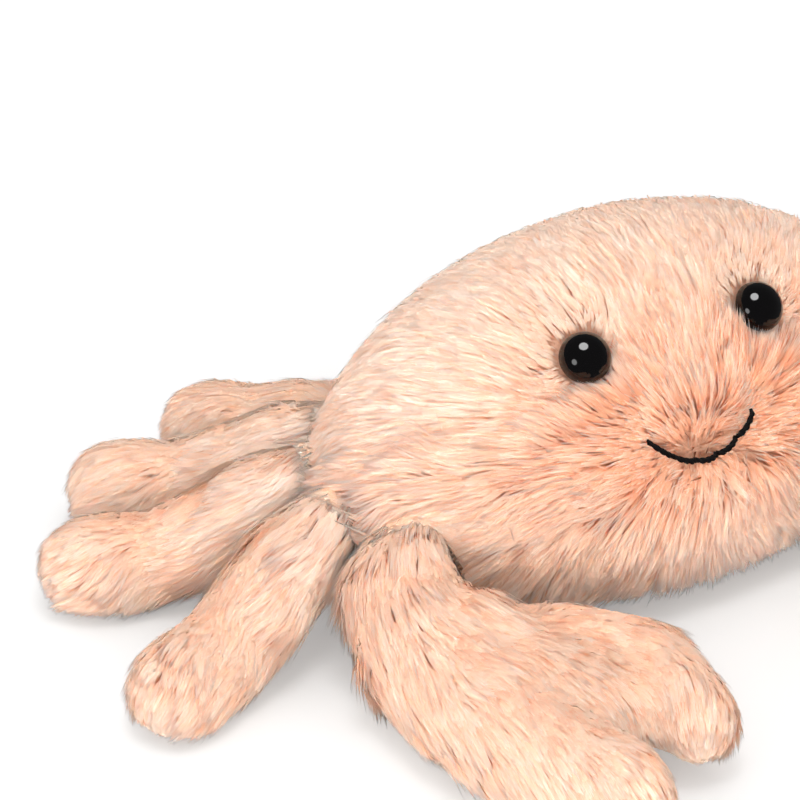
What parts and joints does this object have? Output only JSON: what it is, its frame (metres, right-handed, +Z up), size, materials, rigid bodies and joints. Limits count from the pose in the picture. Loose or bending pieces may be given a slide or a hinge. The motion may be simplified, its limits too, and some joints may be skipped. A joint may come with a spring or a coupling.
{
  "type": "plush crab",
  "caption": "Soft toy crab in long peach pile: stuffed dome body with bead eyes and a stitched smile, with sewn-on legs and mitten claws that fold up and down at the side seam",
  "frame": {"origin": "centre of the flat on the belly, on the table, under the body's widest line", "axes": "+Z up, the face towards -Y, +X to the toy's own left"},
  "size_m": [0.2256, 0.1735, 0.0665],
  "materials": {
    "plush_cloth": "matte",
    "wadding": "matte",
    "calico": "matte",
    "beans": "matte",
    "black_bead": "gloss",
    "washer_plastic": "satin",
    "mouth_thread": "matte"
  },
  "bodies": {
    "body": {"right_carapace": "plush_cloth", "left_carapace": "plush_cloth", "belly": "plush_cloth", "body_filling": "wadding", "bean_pouch": "calico", "beans": "beans", "mouth_thread": "mouth_thread", "right_eye": "black_bead", "right_eye_washer": "washer_plastic", "left_eye": "black_bead", "left_eye_washer": "washer_plastic"},
    "right_claw": {"right_claw_top": "plush_cloth", "right_claw_underside": "plush_cloth", "right_claw_filling": "wadding"},
    "right_leg_1": {"right_leg_1_top": "plush_cloth", "right_leg_1_underside": "plush_cloth", "right_leg_1_filling": "wadding"},
    "right_leg_2": {"right_leg_2_top": "plush_cloth", "right_leg_2_underside": "plush_cloth", "right_leg_2_filling": "wadding"},
    "right_leg_3": {"right_leg_3_top": "plush_cloth", "right_leg_3_underside": "plush_cloth", "right_leg_3_filling": "wadding"},
    "right_leg_4": {"right_leg_4_top": "plush_cloth", "right_leg_4_underside": "plush_cloth", "right_leg_4_filling": "wadding"},
    "left_claw": {"left_claw_top": "plush_cloth", "left_claw_underside": "plush_cloth", "left_claw_filling": "wadding"},
    "left_leg_1": {"left_leg_1_top": "plush_cloth", "left_leg_1_underside": "plush_cloth", "left_leg_1_filling": "wadding"},
    "left_leg_2": {"left_leg_2_top": "plush_cloth", "left_leg_2_underside": "plush_cloth", "left_leg_2_filling": "wadding"},
    "left_leg_3": {"left_leg_3_top": "plush_cloth", "left_leg_3_underside": "plush_cloth", "left_leg_3_filling": "wadding"},
    "left_leg_4": {"left_leg_4_top": "plush_cloth", "left_leg_4_underside": "plush_cloth", "left_leg_4_filling": "wadding"}
  },
  "joints": [
    {"name": "right_claw_seam", "type": "hinge", "parent": "body", "child": "right_claw", "pos_m": [-0.05701, -0.01917, 0.021], "axis": [-0.726, 0.6877, 0], "range_deg": [-20, 60]},
    {"name": "right_leg_1_seam", "type": "hinge", "parent": "body", "child": "right_leg_1", "pos_m": [-0.06603, -0.00341, 0.021], "axis": [-0.158, 0.9874, 0], "range_deg": [-20, 60]},
    {"name": "right_leg_2_seam", "type": "hinge", "parent": "body", "child": "right_leg_2", "pos_m": [-0.06308, 0.01278, 0.021], "axis": [0.4595, 0.8882, 0], "range_deg": [-20, 60]},
    {"name": "right_leg_3_seam", "type": "hinge", "parent": "body", "child": "right_leg_3", "pos_m": [-0.05185, 0.02582, 0.021], "axis": [0.7885, 0.615, 0], "range_deg": [-20, 60]},
    {"name": "right_leg_4_seam", "type": "hinge", "parent": "body", "child": "right_leg_4", "pos_m": [-0.0357, 0.03485, 0.021], "axis": [0.9298, 0.368, 0], "range_deg": [-20, 60]},
    {"name": "left_claw_seam", "type": "hinge", "parent": "body", "child": "left_claw", "pos_m": [0.05701, -0.01917, 0.021], "axis": [-0.726, -0.6877, 0], "range_deg": [-20, 60]},
    {"name": "left_leg_1_seam", "type": "hinge", "parent": "body", "child": "left_leg_1", "pos_m": [0.06603, -0.00341, 0.021], "axis": [-0.158, -0.9874, 0], "range_deg": [-20, 60]},
    {"name": "left_leg_2_seam", "type": "hinge", "parent": "body", "child": "left_leg_2", "pos_m": [0.06308, 0.01278, 0.021], "axis": [0.4595, -0.8882, 0], "range_deg": [-20, 60]},
    {"name": "left_leg_3_seam", "type": "hinge", "parent": "body", "child": "left_leg_3", "pos_m": [0.05185, 0.02582, 0.021], "axis": [0.7885, -0.615, 0], "range_deg": [-20, 60]},
    {"name": "left_leg_4_seam", "type": "hinge", "parent": "body", "child": "left_leg_4", "pos_m": [0.0357, 0.03485, 0.021], "axis": [0.9298, -0.368, 0], "range_deg": [-20, 60]}
  ]
}
